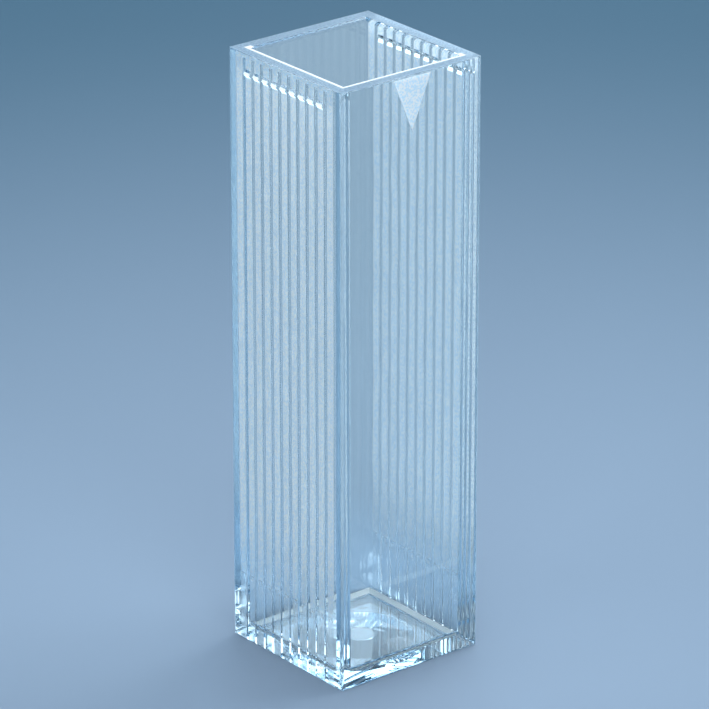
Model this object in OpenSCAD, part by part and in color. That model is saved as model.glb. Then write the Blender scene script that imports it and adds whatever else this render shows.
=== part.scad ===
// Disposable macro cuvette, moulded in one piece from clear polystyrene.
// A square tube stands on a closed floor. Two opposite walls (-Y and +Y) are
// plain optical windows. The other two (-X and +X) are grip walls with
// vertical grooves, and with a low cross bar near the rim that the grooves cut
// into short pieces. A raised pointer on the -Y window shows the way of the
// light beam. The underside has a domed gate recess, so that the gate mark
// never reaches the bench.
//
// Frame: millimetres, +Z up, origin on the bench at the centre of the base.

/* [Body] */
// Outer width of the square body, across each pair of walls
body_w = 12.5; // [12:0.1:16]
// Overall height
body_h = 45; // [20:0.5:80]
// Thickness of each clear window wall
window_t = 1.25; // [1:0.05:1.6]
// Thickness of each grip wall at the rim, from its flat face inwards
grip_t = 1.25; // [1:0.05:1.6]
// Thickness of the floor where it meets the walls
floor_t = 0.8; // [0.8:0.1:3]
// How much each grip wall thickens from rim to floor, so the core draws out
core_draft = 0.06; // [0:0.02:0.2]

/* [Edges] */
// Radius of the four upright outer edges
upright_r = 0.25; // [0.1:0.05:0.8]
// Radius of the outer edge round the base
base_edge_r = 0.25; // [0.1:0.05:0.6]
// Radius of the outer edge round the rim
rim_outer_r = 0.1; // [0.05:0.05:0.3]
// Radius of the inner edge round the mouth
mouth_r = 0.35; // [0.1:0.05:0.5]
// Radius of the fillet where the walls meet the floor, inside
floor_fillet_r = 0.6; // [0.1:0.05:1]

/* [Grip grooves] */
// Distance from one groove to the next
groove_pitch = 1; // [0.6:0.05:2]
// Width of a groove at the wall's face
groove_w = 0.4; // [0.35:0.05:0.5]
// Width of a groove's flat floor
groove_floor_w = 0.3; // [0.1:0.05:0.3]
// Depth of a groove
groove_d = 0.1; // [0.05:0.05:0.3]
// Plain margin from the body's corner to the first groove's middle
groove_margin = 1.75; // [1:0.05:3]
// Plain band left between the rim and the top of the grooves
groove_top_gap = 0.3; // [0.2:0.05:1]

/* [Cross bar] */
// Distance from the rim down to the bar's crest
bar_drop = 1.45; // [0.8:0.05:3]
// How far the crest stands out from the wall's face
bar_relief = 0.2; // [0.05:0.05:0.3]
// Height of the bar's upper side, which faces up
bar_upper = 0.35; // [0.1:0.05:0.6]
// Height of the bar's lower side, which faces down
bar_lower = 0.25; // [0.1:0.05:0.6]

/* [Beam pointer] */
// Width of the pointer along its upper side
pointer_w = 3.4; // [2:0.1:6]
// Height of the pointer from its upper side to its tip
pointer_h = 4.1; // [2:0.1:8]
// How far the pointer stands out from the window
pointer_relief = 0.1; // [0.05:0.01:0.2]
// Width of the pointer's sloping border
pointer_bevel = 0.15; // [0.05:0.05:0.3]

/* [Gate recess] */
// Diameter of the domed recess under the floor
recess_dia = 7.8; // [5:0.1:10]
// Depth of the recess at its middle
recess_d = 0.45; // [0.2:0.05:0.55]
// Diameter of the sheared gate mark in the middle of the recess
gate_dia = 2.2; // [0.8:0.1:2.5]
// Height of the gate mark
gate_h = 0.12; // [0.08:0.01:0.15]

/* [Hidden] */

// Straight steps in each quarter-round edge
arc_steps = 8;
// Segments in a full round
$fn = 96;
// How far a cutting shape runs past the face that it cuts
past = 1;

half_w = body_w / 2;
// Half widths of the well: constant between the windows, drafted between the grips
well_half_y = half_w - window_t;
well_half_x_top = half_w - grip_t;
well_half_x_floor = well_half_x_top - core_draft;

// Keeps a pitch that just fits from being lost to rounding
rounding_slack = 0.001;
groove_count = floor((body_w - 2 * groove_margin) / groove_pitch + rounding_slack) + 1;
groove_span = (groove_count - 1) * groove_pitch;
groove_top_z = body_h - groove_top_gap;

bar_z = body_h - bar_drop;
// How far the bar runs into the wall, so that the two join
bar_root = grip_t / 2;

pointer_top_z = body_h - rim_outer_r;

recess_r = recess_dia / 2;
// Radius of the sphere whose cap is the recess
recess_sphere_r = (recess_r * recess_r + recess_d * recess_d) / (2 * recess_d);

// Points of a quarter round about centre c, from angle a0 to a1
function arc(c, r, a0, a1) =
    [for (i = [0:arc_steps]) let (a = a0 + (a1 - a0) * i / arc_steps)
        [c[0] + r * cos(a), c[1] + r * sin(a)]];

// A right-hand side line, closed by its mirror image on the left
function both_sides(side) =
    concat(side, [for (i = [len(side) - 1:-1:0]) [-side[i][0], side[i][1]]]);

// Side line of the body: rounded at the base and at the rim
function body_side() = concat(
    arc([half_w - base_edge_r, base_edge_r], base_edge_r, -90, 0),
    arc([half_w - rim_outer_r, body_h - rim_outer_r], rim_outer_r, 0, 90));

// Side line of the well: filleted at the floor, flared over the mouth's round edge
function well_side(half_floor, half_top) = concat(
    arc([half_floor - floor_fillet_r, floor_t + floor_fillet_r], floor_fillet_r, -90, 0),
    arc([half_top + mouth_r, body_h - mouth_r], mouth_r, 180, 90),
    [[half_top + mouth_r, body_h + past]]);

// Runs a profile drawn in X and Z along Y, over the body's whole width
module run_along_y(points) {
    rotate([90, 0, 0])
        linear_extrude(height = body_w + 2 * past, center = true)
            polygon(points);
}

// Runs a profile drawn in Y and Z along X, over the body's whole width
module run_along_x(points) {
    rotate([0, 0, 90]) run_along_y(points);
}

// Square with round corners, made of two bars and four discs
module rounded_square(w, r) {
    square([w, w - 2 * r], center = true);
    square([w - 2 * r, w], center = true);
    for (x = [-1, 1], y = [-1, 1])
        translate([x * (w / 2 - r), y * (w / 2 - r)]) circle(r);
}

// Outside of the body, with its round edges and nothing cut away
module body_block() {
    intersection() {
        translate([0, 0, -past])
            linear_extrude(height = body_h + 2 * past) rounded_square(body_w, upright_r);
        run_along_y(both_sides(body_side()));
        run_along_x(both_sides(body_side()));
    }
}

// The space that holds the sample
module well() {
    intersection() {
        run_along_y(both_sides(well_side(well_half_x_floor, well_half_x_top)));
        run_along_x(both_sides(well_side(well_half_y, well_half_y)));
    }
}

// Cutter for one groove in the +X wall, flat-floored and open at the base. Its
// sides lean outwards up to the wall's face, and run straight on past the bar.
module groove_cutter(y) {
    floor_half = groove_floor_w / 2;
    face_half = groove_w / 2;
    translate([half_w, y, -past])
        linear_extrude(height = groove_top_z + past)
            polygon([
                [-groove_d, -floor_half], [0, -face_half], [past, -face_half],
                [past, face_half], [0, face_half], [-groove_d, floor_half]
            ]);
}

// Cross bar on the +X wall, from the first groove's middle to the last one's
module cross_bar() {
    translate([half_w, 0, bar_z])
        rotate([90, 0, 0])
            linear_extrude(height = groove_span, center = true)
                polygon([
                    [bar_relief, 0], [0, bar_upper], [-bar_root, bar_upper],
                    [-bar_root, -bar_lower], [0, -bar_lower]
                ]);
}

// The body with a cross bar on each grip wall
module barred_block() {
    body_block();
    cross_bar();
    rotate([0, 0, 180]) cross_bar();
}

// All grooves in the +X wall
module grooves() {
    for (i = [0:groove_count - 1])
        groove_cutter(-groove_span / 2 + i * groove_pitch);
}

// Domed recess round the gate, under the floor
module gate_recess() {
    intersection() {
        translate([0, 0, recess_d - recess_sphere_r]) sphere(recess_sphere_r);
        translate([0, 0, -past]) cylinder(r = recess_r + past, h = recess_d + 2 * past);
    }
}

// Sheared stub of the gate, in the middle of the recess
module gate_mark() {
    translate([0, 0, recess_d - gate_h])
        cylinder(d = gate_dia, h = floor_t / 2 + gate_h - recess_d / 2);
}

// Raised triangle on the -Y window, its tip down
module pointer() {
    // The outline shrinks towards the middle of its inscribed circle
    side_len = sqrt(pointer_w * pointer_w / 4 + pointer_h * pointer_h);
    inner_r = pointer_w * pointer_h / (pointer_w + 2 * side_len);
    root = [[-pointer_w / 2, inner_r], [pointer_w / 2, inner_r], [0, inner_r - pointer_h]];
    sunk = window_t / 2;
    translate([0, -half_w, pointer_top_z - inner_r])
        rotate([90, 0, 0]) {
            linear_extrude(height = pointer_relief, scale = 1 - pointer_bevel / inner_r)
                polygon(root);
            translate([0, 0, -sunk]) linear_extrude(height = sunk) polygon(root);
        }
}

module cuvette() {
    color([0.82, 0.9, 0.96, 0.45]) {
        difference() {
            barred_block();
            well();
            grooves();
            rotate([0, 0, 180]) grooves();
            gate_recess();
        }
        gate_mark();
        pointer();
    }
}

cuvette();
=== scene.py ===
"""A clear moulded cuvette in a plain studio. Metres, +Z up, the CAD model's own frame."""

import math

import bpy
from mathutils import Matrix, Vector


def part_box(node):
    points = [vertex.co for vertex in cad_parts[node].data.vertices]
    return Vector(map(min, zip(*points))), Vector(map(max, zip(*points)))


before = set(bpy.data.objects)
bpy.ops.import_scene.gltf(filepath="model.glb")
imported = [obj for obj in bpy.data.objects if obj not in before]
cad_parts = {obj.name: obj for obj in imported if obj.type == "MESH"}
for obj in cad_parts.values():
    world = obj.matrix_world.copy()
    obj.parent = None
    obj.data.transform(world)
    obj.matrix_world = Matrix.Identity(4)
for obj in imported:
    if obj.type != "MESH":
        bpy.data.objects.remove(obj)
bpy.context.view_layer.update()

MM = 0.001

# The body as the CAD model gives it. The cross bars and the pointer reach out of it, so +Y alone
# shows how wide it is.
LOW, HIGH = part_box("cuvette")
HALF_W = HIGH.y
HEIGHT = HIGH.z
POINTER_RELIEF = -LOW.y - HIGH.y
# Two sizes of the CAD model that its box doesn't show
FLOOR_T = 0.8 * MM
BAR_DROP = 1.45 * MM


# ---------------------------------------------------------------- node helpers

class Nodes:
    """Short ways to add and join shader nodes in one node tree."""

    def __init__(self, tree):
        self.tree = tree
        tree.nodes.clear()

    def add(self, kind, inputs=None, **settings):
        """A node with its settings, and its inputs either linked or given a value."""
        node = self.tree.nodes.new(kind)
        for name, value in settings.items():
            setattr(node, name, value)
        for key, value in (inputs or {}).items():
            self.feed(node.inputs[key], value)
        return node

    def feed(self, socket, value):
        """Links another node's output into a socket, or sets the socket's own value."""
        if isinstance(value, bpy.types.NodeSocket):
            self.tree.links.new(value, socket)
        else:
            socket.default_value = value

    def math(self, operation, *values):
        """One arithmetic step on numbers or outputs."""
        inputs = dict(enumerate(values))
        return self.add("ShaderNodeMath", inputs, operation=operation).outputs[0]

    def size_of(self, value):
        """The value without its sign."""
        return self.math("ABSOLUTE", value)

    def plus(self, a, b):
        return self.math("ADD", a, b)

    def minus(self, a, b):
        return self.math("SUBTRACT", a, b)

    def times(self, a, b):
        return self.math("MULTIPLY", a, b)

    def most(self, first, *others):
        """The largest of several values, which joins masks."""
        for other in others:
            first = self.math("MAXIMUM", first, other)
        return first

    def step(self, value, start, end):
        """0 on the near side of start, 1 past end and a smooth change between them."""
        inputs = {"Value": value, "From Min": start, "From Max": end}
        return self.add("ShaderNodeMapRange", inputs, interpolation_type="SMOOTHSTEP").outputs[0]

    def noise(self, vector, size, detail=2.0):
        """Noise from 0 to 1 whose lumps are about size metres across."""
        inputs = {"Vector": vector, "Scale": 1 / size, "Detail": detail, "Roughness": 0.5}
        return self.add("ShaderNodeTexNoise", inputs).outputs[0]

    def mix(self, factor, a, b):
        """Colour a at factor 0 and colour b at factor 1."""
        node = self.add("ShaderNodeMix", {0: factor, 6: a, 7: b}, data_type="RGBA")
        return node.outputs[2]


# ---------------------------------------------------------------- clear plastic

WHITE = (1.0, 1.0, 1.0, 1.0)
POLYSTYRENE_IOR = 1.59
POLYSTYRENE_TINT = (0.20, 0.62, 0.85, 1.0)
POLYSTYRENE_TINT_DENSITY = 40.0
CLEAR_ROUGHNESS = 0.015
CLEAR_ROUGHNESS_SPREAD = 0.012

FROST_COLOUR = (0.74, 0.88, 1.0, 1.0)
FROST_COLOUR_PALER = (0.97, 1.0, 1.0, 1.0)
RIM_COLOUR = (0.47, 0.62, 0.77, 1.0)
POINTER_COLOUR = (0.68, 0.86, 1.0, 1.0)
# Colour of the painted highlights on the bar's crest and the floor fillet
PAINTED_HIGHLIGHT_COLOUR = (0.93, 1.0, 1.0, 1.0)
FROST_ROUGHNESS = 0.85
LEAST_FROST_ROUGHNESS = 0.03
# Shares of light that a fully frosted place scatters back and lets through scattered
FROST_WHITENESS = 0.75
FROST_GLOW = 0.45
# How much more light the frosting over the cross bar lets through scattered
OVER_BAR_GLOW = 0.5
POINTER_WHITENESS = 0.9
# Least haze of the pointer and of the painted highlights on the edges, and how much of its haze the rim
# loses
POINTER_AND_HIGHLIGHT_HAZE = 0.9
RIM_HAZE_LOSS = 0.5
# Least density of the frosting between its specks, and the share of it that is left near the base,
# where the whiteness lost with it is painted shade
SPECK_GAP = 0.5
FROST_AND_SHADE_NEAR_BASE = 0.14
# The frosting's grain and blotches, and the waves in the clear walls: sizes across, and heights
GRAIN_SIZE = 0.15 * MM
GRAIN_HEIGHT = 0.001 * MM
BLOTCH_SIZE = 1.6 * MM
BLOTCH_SHARE = 0.15
WAVE_SIZE = 5.0 * MM
WAVE_HEIGHT = 0.02 * MM
# Values of the noise between which specks fill up and colours change over
SPECK_EDGE = (0.30, 0.75)
BAND_MOTTLE = (0.38, 0.62)
RIM_MOTTLE = (0.36, 0.64)
POINTER_MOTTLE = (0.40, 0.58)

# Where the frosted places and the painted highlights start and end. Each pair is two places between
# which a mask goes from 0 to 1.
# A point this close to a face counts as lying on it
SKIN = 0.02 * MM
SKIN_DEEP = 0.002 * MM
# The grip bands are frosted up to here from the wall's middle
BAND_SIDES = (5.45 * MM, 5.25 * MM)
POINTER_FRONT = (0.1 * POINTER_RELIEF, 0.5 * POINTER_RELIEF)
# Places of the painted highlights: the mouth's edge, the cross bar's crest and the fillet
MOUTH_HEIGHT = (HEIGHT - 0.07 * MM, HEIGHT - 0.05 * MM)
MOUTH_REACH = (HALF_W - 0.72 * MM, HALF_W - 0.80 * MM)
MOUTH_NEAR_SIDES = (1.5 * MM - HALF_W, 1.3 * MM - HALF_W)
CREST_REACH = (HALF_W + 0.09 * MM, HALF_W + 0.13 * MM)
CREST_HEIGHT = (HEIGHT - BAR_DROP - 0.01 * MM, HEIGHT - BAR_DROP + 0.01 * MM)
FILLET_FOOT = (FLOOR_T + 0.03 * MM, FLOOR_T + 0.06 * MM)
FILLET_TOP = (FLOOR_T + 0.34 * MM, FLOOR_T + 0.30 * MM)
FILLET_REACH = (HALF_W - 1.1 * MM, HALF_W - 1.2 * MM)
OVER_BAR_HEIGHT = (HEIGHT - 1.4 * MM, HEIGHT - 1.0 * MM)
# The frosting fades out downwards between these heights, and with it the whiteness, as painted shade
# towards the base
FROST_AND_SHADE_FADE_HEIGHT = (3.0 * MM, 12.0 * MM)


class FrostAndHighlightPlaces:
    """Masks of the frosted places and of the painted highlights, each told from the polished places by
    where it lies.
    """

    def __init__(self, n, place):
        x, y, z = n.add("ShaderNodeSeparateXYZ", {0: place}).outputs
        out_x = n.size_of(x)
        out_y = n.size_of(y)
        furthest = n.most(out_x, out_y)

        on_grip_face = n.step(n.size_of(n.minus(out_x, HALF_W)), SKIN, SKIN_DEEP)
        self.bands = n.times(on_grip_face, n.step(out_y, *BAND_SIDES))
        self.over_bar = n.times(self.bands, n.step(z, *OVER_BAR_HEIGHT))
        self.rim = n.step(z, HEIGHT - SKIN, HEIGHT - SKIN_DEEP)
        out_of_window = n.minus(n.times(y, -1.0), HALF_W)
        self.pointer = n.step(out_of_window, *POINTER_FRONT)

        # A painted highlight on the round edge of the mouth, whitest over the -X and -Y walls
        mouth = n.times(n.step(z, *MOUTH_HEIGHT), n.step(furthest, *MOUTH_REACH))
        near_sides = n.step(n.math("MINIMUM", x, y), *MOUTH_NEAR_SIDES)
        self.mouth = n.times(mouth, near_sides)
        # A painted highlight on the upper side of the cross bar, along its crest
        crest = n.times(n.step(out_x, *CREST_REACH), n.step(z, *CREST_HEIGHT))
        # A painted highlight on the lower part of the fillet round the well's floor
        on_fillet = n.times(n.step(z, *FILLET_FOOT), n.step(z, *FILLET_TOP))
        fillet = n.times(on_fillet, n.step(furthest, *FILLET_REACH))

        self.edges = n.most(self.mouth, crest, fillet)
        self.faces = n.most(self.bands, self.rim)
        self.all = n.most(self.faces, self.pointer, self.edges)
        # Less frosting lower down, whose lost whiteness is painted shade towards the base
        fade = n.step(z, *FROST_AND_SHADE_FADE_HEIGHT)
        self.upwards = n.plus(n.times(fade, 1 - FROST_AND_SHADE_NEAR_BASE), FROST_AND_SHADE_NEAR_BASE)


def frost_haze_and_painted_light(n, frosted, grain, blotches):
    """How dense the frosting is: fine specks in uneven patches, fewer near the base, where the lost
    whiteness is painted shade. The painted highlights join it at nearly full density.
    """
    patchy = n.plus(grain, n.times(blotches, BLOTCH_SHARE))
    specks = n.plus(n.times(n.step(patchy, *SPECK_EDGE), 1 - SPECK_GAP), SPECK_GAP)
    haze_and_painted_light = n.times(n.times(specks, frosted.upwards), frosted.all)
    haze_and_painted_light = n.times(haze_and_painted_light, n.minus(1.0, n.times(frosted.rim, RIM_HAZE_LOSS)))
    white_parts = n.most(frosted.pointer, frosted.edges)
    return n.most(haze_and_painted_light, n.times(white_parts, POINTER_AND_HIGHLIGHT_HAZE))


def frost_roughness(n, frosted, blotches):
    """Polished plastic's roughness, and the frosting's where it lies."""
    rough = n.plus(n.times(frosted.upwards, FROST_ROUGHNESS), LEAST_FROST_ROUGHNESS)
    clear = n.plus(n.times(blotches, CLEAR_ROUGHNESS_SPREAD), CLEAR_ROUGHNESS)
    return n.plus(n.times(frosted.all, rough), n.times(n.minus(1.0, frosted.all), clear))


def frost_and_highlight_colour(n, frosted, grain):
    """White for the clear walls, each frosted part's own colour, mottled by the grain, and white for
    the painted highlights.
    """
    bands = n.mix(n.step(grain, *BAND_MOTTLE), FROST_COLOUR, FROST_COLOUR_PALER)
    rim = n.mix(n.step(grain, *RIM_MOTTLE), RIM_COLOUR, FROST_COLOUR)
    pointer = n.mix(n.step(grain, *POINTER_MOTTLE), POINTER_COLOUR, WHITE)
    colour = n.mix(frosted.faces, PAINTED_HIGHLIGHT_COLOUR, bands)
    colour = n.mix(frosted.rim, colour, rim)
    colour = n.mix(frosted.all, WHITE, colour)
    # The mouth's painted highlight in pure white
    colour = n.mix(frosted.mouth, colour, WHITE)
    return n.mix(frosted.pointer, colour, pointer)


def moulded_relief(n, frosted, place, grain):
    """Slight waves that moulding leaves in the clear walls, and the fine relief of the frosting."""
    waves = n.noise(place, WAVE_SIZE, detail=1.0)
    wavy = n.add("ShaderNodeBump", {"Height": waves, "Distance": WAVE_HEIGHT, "Strength": 1.0})
    relief = {
        "Height": n.times(grain, frosted.all),
        "Distance": GRAIN_HEIGHT,
        "Strength": 1.0,
        "Normal": wavy.outputs[0],
    }
    return n.add("ShaderNodeBump", relief).outputs[0]


def clear_polystyrene():
    """Polished clear plastic, with the mould's frosted texture on the grip bands, rim and pointer,
    painted shade on the frosting towards the base, and painted highlights on the mouth, the bar's crest
    and the floor fillet.
    """
    material = bpy.data.materials.new("clear_polystyrene")
    material.use_nodes = True
    n = Nodes(material.node_tree)
    place = n.add("ShaderNodeTexCoord").outputs["Object"]
    frosted = FrostAndHighlightPlaces(n, place)
    grain = n.noise(place, GRAIN_SIZE, detail=3.0)
    blotches = n.noise(place, BLOTCH_SIZE)

    haze_and_painted_light = frost_haze_and_painted_light(n, frosted, grain, blotches)
    colour = frost_and_highlight_colour(n, frosted, grain)
    pointer_whiteness = n.times(frosted.pointer, POINTER_WHITENESS)
    # The painted highlights are made fully white, letting no light through
    whiteness = n.most(n.times(haze_and_painted_light, FROST_WHITENESS), pointer_whiteness, frosted.edges)
    plastic = n.add("ShaderNodeBsdfPrincipled", {
        "Base Color": colour,
        "Roughness": frost_roughness(n, frosted, blotches),
        "IOR": POLYSTYRENE_IOR,
        "Transmission Weight": n.minus(1.0, whiteness),
        "Normal": moulded_relief(n, frosted, place, grain),
    })
    glow = n.add("ShaderNodeBsdfTranslucent", {"Color": colour})
    density = n.plus(n.times(frosted.over_bar, OVER_BAR_GLOW), FROST_GLOW)
    share = n.times(n.times(haze_and_painted_light, density), n.minus(1.0, frosted.edges))
    surface = n.add("ShaderNodeMixShader", {0: share, 1: plastic.outputs[0], 2: glow.outputs[0]})
    tint = n.add(
        "ShaderNodeVolumeAbsorption",
        {"Color": POLYSTYRENE_TINT, "Density": POLYSTYRENE_TINT_DENSITY},
    )
    n.add(
        "ShaderNodeOutputMaterial",
        {"Surface": surface.outputs[0], "Volume": tint.outputs[0]},
    )
    return material


def dress_cuvette():
    """Gives the CAD solid its finish. Its shape stays as it is."""
    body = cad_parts["cuvette"]
    body.material_slots[0].material = clear_polystyrene()


# ---------------------------------------------------------------- floor and world

FLOOR_SIZE = 1.1
# Clearance under the base, so that the two faces don't coincide
FLOOR_GAP = 0.01 * MM
PAPER_UNEVENNESS_SIZE = 0.12
# The paper as the camera sees it: a painted pool of light round the object, fading to a deeper colour
# away from it
PAPER_COLOUR = (0.25, 0.33, 0.44, 1.0)
PAPER_COLOUR_PALER = (0.26, 0.34, 0.45, 1.0)
PAPER_COLOUR_OUTSIDE_POOL = (0.034, 0.105, 0.17, 1.0)
PAINTED_POOL_FADES = (0.01, 0.16)
# The paper as it shows through the clear walls: a painted shadow under the base, painted light beside
# it that fills the object's shadow, and plainer colours further out
PAINTED_SHADOW_UNDER_BASE = (0.09, 0.14, 0.20, 1.0)
PAINTED_LIGHT_BESIDE_BASE = (0.26, 0.39, 0.53, 1.0)
AROUND_COLOUR = (0.24, 0.33, 0.42, 1.0)
FAR_COLOUR = (0.22, 0.30, 0.37, 1.0)
UNDER_BASE_ENDS = (0.0095, 0.0070)
AROUND_STARTS = (0.012, 0.030)
FAR_STARTS = (0.03, 0.10)
PAPER_ROUGHNESS = 0.85

HORIZON_COLOUR = (0.09, 0.18, 0.26, 1.0)
ROOM_COLOUR = (0.04, 0.08, 0.12, 1.0)
TENT_COLOUR = (0.22, 0.26, 0.31, 1.0)
# Where the room and the tent start, as heights in the unit sphere of directions
ROOM_STARTS = (0.06, 0.14)
TENT_STARTS = (0.33, 0.45)


def matte_paper():
    """Pale blue-grey paper, barely uneven, with a painted pool of light round the object; through the
    clear walls it shows a painted shadow under the base and painted light beside it.
    """
    material = bpy.data.materials.new("studio_floor")
    material.use_nodes = True
    n = Nodes(material.node_tree)
    place = n.add("ShaderNodeTexCoord").outputs["Object"]
    away = n.add("ShaderNodeVectorMath", {0: place}, operation="LENGTH").outputs["Value"]
    to_camera = n.mix(n.noise(place, PAPER_UNEVENNESS_SIZE), PAPER_COLOUR, PAPER_COLOUR_PALER)
    # Painted pool of light: paler near the object, deeper further out
    to_camera = n.mix(n.step(away, *PAINTED_POOL_FADES), to_camera, PAPER_COLOUR_OUTSIDE_POOL)
    # Painted shadow under the base and painted light beside it, as seen through the clear walls
    through = n.mix(n.step(away, *UNDER_BASE_ENDS), PAINTED_LIGHT_BESIDE_BASE, PAINTED_SHADOW_UNDER_BASE)
    through = n.mix(n.step(away, *AROUND_STARTS), through, AROUND_COLOUR)
    through = n.mix(n.step(away, *FAR_STARTS), through, FAR_COLOUR)
    seen = n.add("ShaderNodeLightPath").outputs["Is Camera Ray"]
    paper = n.add(
        "ShaderNodeBsdfPrincipled",
        {"Base Color": n.mix(seen, through, to_camera), "Roughness": PAPER_ROUGHNESS},
    )
    n.add("ShaderNodeOutputMaterial", {"Surface": paper.outputs[0]})
    return material


def studio_floor():
    """A floor just under the base."""
    bpy.ops.mesh.primitive_plane_add(size=FLOOR_SIZE, location=(0, 0, -FLOOR_GAP))
    floor = bpy.context.object
    floor.name = "studio_floor"
    floor.data.materials.append(matte_paper())


def studio_world():
    """A pale tent above, the backdrop low down and a dark room between them."""
    world = bpy.data.worlds.new("studio_world")
    bpy.context.scene.world = world
    world.use_nodes = True
    n = Nodes(world.node_tree)
    place = n.add("ShaderNodeTexCoord").outputs["Generated"]
    direction = n.add("ShaderNodeVectorMath", {0: place}, operation="NORMALIZE").outputs[0]
    height = n.add("ShaderNodeSeparateXYZ", {0: direction}).outputs["Z"]
    colour = n.mix(n.step(height, *ROOM_STARTS), HORIZON_COLOUR, ROOM_COLOUR)
    colour = n.mix(n.step(height, *TENT_STARTS), colour, TENT_COLOUR)
    seen = n.add("ShaderNodeLightPath").outputs["Is Camera Ray"]
    background = n.add("ShaderNodeBackground", {"Color": n.mix(seen, colour, HORIZON_COLOUR)})
    n.add("ShaderNodeOutputWorld", {"Surface": background.outputs[0]})


# ---------------------------------------------------------------- lights

SOFT_WHITE = (0.86, 0.95, 1.0)
BOUNCES = 24


def softbox(name, turn, rise, distance, size, brightness, colour, seen_through=True):
    """A rectangular soft light that faces the cuvette's middle, turn degrees from +Y towards +X."""
    turn, rise = math.radians(turn), math.radians(rise)
    flat = math.cos(rise)
    away = Vector((math.sin(turn) * flat, math.cos(turn) * flat, math.sin(rise)))
    light = bpy.data.lights.new(name, "AREA")
    light.shape = "RECTANGLE"
    light.size, light.size_y = size
    light.energy = brightness * math.pi * size[0] * size[1]
    light.color = colour
    lamp = bpy.data.objects.new(name, light)
    bpy.context.scene.collection.objects.link(lamp)
    lamp.visible_transmission = seen_through
    lamp.location = Vector((0, 0, HEIGHT / 2)) + away * distance
    lamp.rotation_euler = (-away).to_track_quat("-Z", "Y").to_euler()


def studio_lights():
    """Soft light from all round. The left lamp stays out of what shows through the clear walls."""
    softbox("softbox_back", 38, 17, 0.65, (0.28, 0.32), 3.8, (0.62, 0.84, 1.0))
    softbox("softbox_back_right", 90, 42, 0.65, (0.60, 0.50), 2.3, SOFT_WHITE)
    softbox("softbox_right", 92, 13, 0.65, (0.60, 0.24), 3.4, SOFT_WHITE)
    softbox("softbox_top", 40, 88, 0.75, (0.22, 0.22), 12.0, (0.88, 0.97, 1.0))
    softbox("softbox_left", -84, 16, 0.60, (0.60, 0.34), 2.3, SOFT_WHITE, False)
    softbox("softbox_front", -150, 15, 0.65, (0.70, 0.34), 6.0, (0.88, 0.96, 1.0))


def light_paths():
    """Enough bounces for light to cross every wall of a clear tube."""
    cycles = bpy.context.scene.cycles
    cycles.max_bounces = BOUNCES
    cycles.transmission_bounces = BOUNCES
    cycles.glossy_bounces = BOUNCES


# ---------------------------------------------------------------- camera

CAMERA_TURN = math.radians(38.9)
CAMERA_TILT = math.radians(22.5)
CAMERA_DISTANCE = 0.376
CAMERA_TARGET = Vector((-0.2, -0.2, 22.4)) * MM
CAMERA_LENS_MM = 269.9


def camera():
    """A long lens that looks down on the corner between a grip wall and the pointer's window."""
    data = bpy.data.cameras.new("camera")
    data.sensor_width = 36.0
    data.lens = CAMERA_LENS_MM
    data.clip_start = 0.01
    data.clip_end = 20.0
    view = bpy.data.objects.new("camera", data)
    bpy.context.scene.collection.objects.link(view)
    flat = math.cos(CAMERA_TILT)
    aim = Vector((
        math.sin(CAMERA_TURN) * flat,
        math.cos(CAMERA_TURN) * flat,
        -math.sin(CAMERA_TILT),
    ))
    view.location = CAMERA_TARGET - aim * CAMERA_DISTANCE
    view.rotation_euler = aim.to_track_quat("-Z", "Y").to_euler()
    bpy.context.scene.camera = view


# ---------------------------------------------------------------- the scene


camera()
dress_cuvette()
studio_floor()
studio_world()
studio_lights()
light_paths()
bpy.context.scene.view_settings.view_transform = "Standard"
